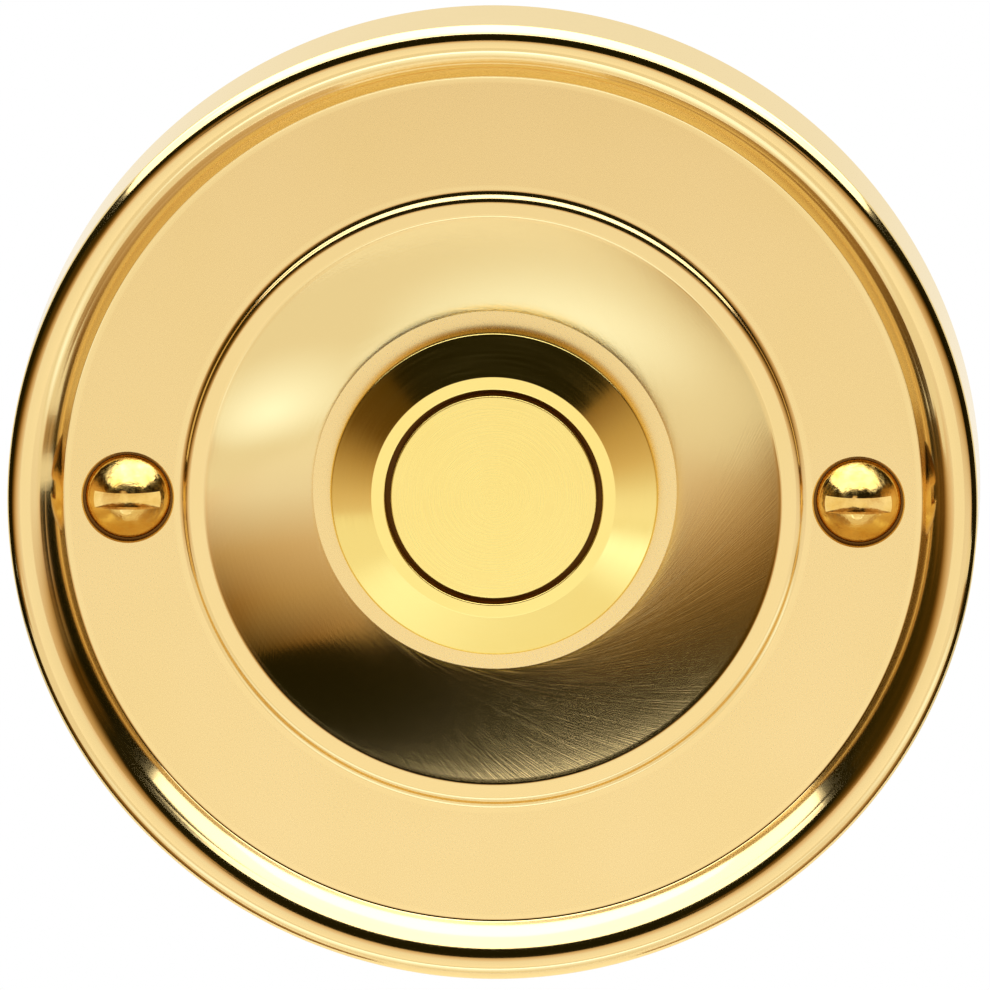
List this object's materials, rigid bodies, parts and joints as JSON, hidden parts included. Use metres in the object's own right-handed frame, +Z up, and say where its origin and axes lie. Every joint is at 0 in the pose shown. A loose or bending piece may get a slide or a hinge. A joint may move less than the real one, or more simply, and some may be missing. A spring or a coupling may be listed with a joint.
{
  "type": "doorbell push button",
  "caption": "Round polished brass bell push: beaded rim, sunk face, dished bowl and a flush sprung button in a bevelled ferrule, fixed to a wall by slotted screws.",
  "frame": {"origin": "centre of the plate's back face, on the wall plane", "axes": "+Y into the wall, -Y out of the front, +Z up, +X to the right as seen from the front"},
  "size_m": [0.0762, 0.0285, 0.0762],
  "materials": {
    "plate_brass": "polished and lacquered, fine satin grain on the flat face",
    "ferrule_brass": "polished lemon brass with faint turning marks",
    "button_brass": "satin lemon brass",
    "screw_brass": "bright deep-gold brass with driver scratches",
    "nut_brass": "as machined",
    "washer_steel": "zinc plated",
    "plunger_plastic": "moulded natural acetal",
    "spring_steel": "drawn spring steel",
    "guide_board": "punched phenolic paper board",
    "contact_strip": "stamped phosphor bronze",
    "contact_point": "silver contact",
    "base_plastic": "moulded black phenolic",
    "terminal_steel": "nickel plated"
  },
  "bodies": {
    "housing": {"rose_plate": "plate_brass", "ferrule": "ferrule_brass", "fixing_screw_left": "screw_brass", "fixing_screw_right": "screw_brass", "lock_nut": "nut_brass", "lock_washer": "washer_steel", "return_spring": "spring_steel", "guide_disc": "guide_board", "terminal_base": "base_plastic", "base_circlip": "spring_steel", "fixed_contact_left": "contact_strip", "fixed_contact_right": "contact_strip", "terminal_washer_left": "terminal_steel", "terminal_washer_right": "terminal_steel", "terminal_screw_left": "terminal_steel", "terminal_screw_right": "terminal_steel"},
    "button": {"push_button": "button_brass", "plunger": "plunger_plastic", "contact_bridge": "contact_strip", "bridge_clip": "spring_steel", "contact_rivet_left": "contact_point", "contact_rivet_right": "contact_point"}
  },
  "joints": [
    {"name": "button_press", "type": "slide", "parent": "housing", "child": "button", "axis": [0, 1, 0], "range_m": [0, 0.0015], "stiffness_N_per_m": 600, "springref_m": -0.003, "deforming": ["return_spring"]}
  ]
}
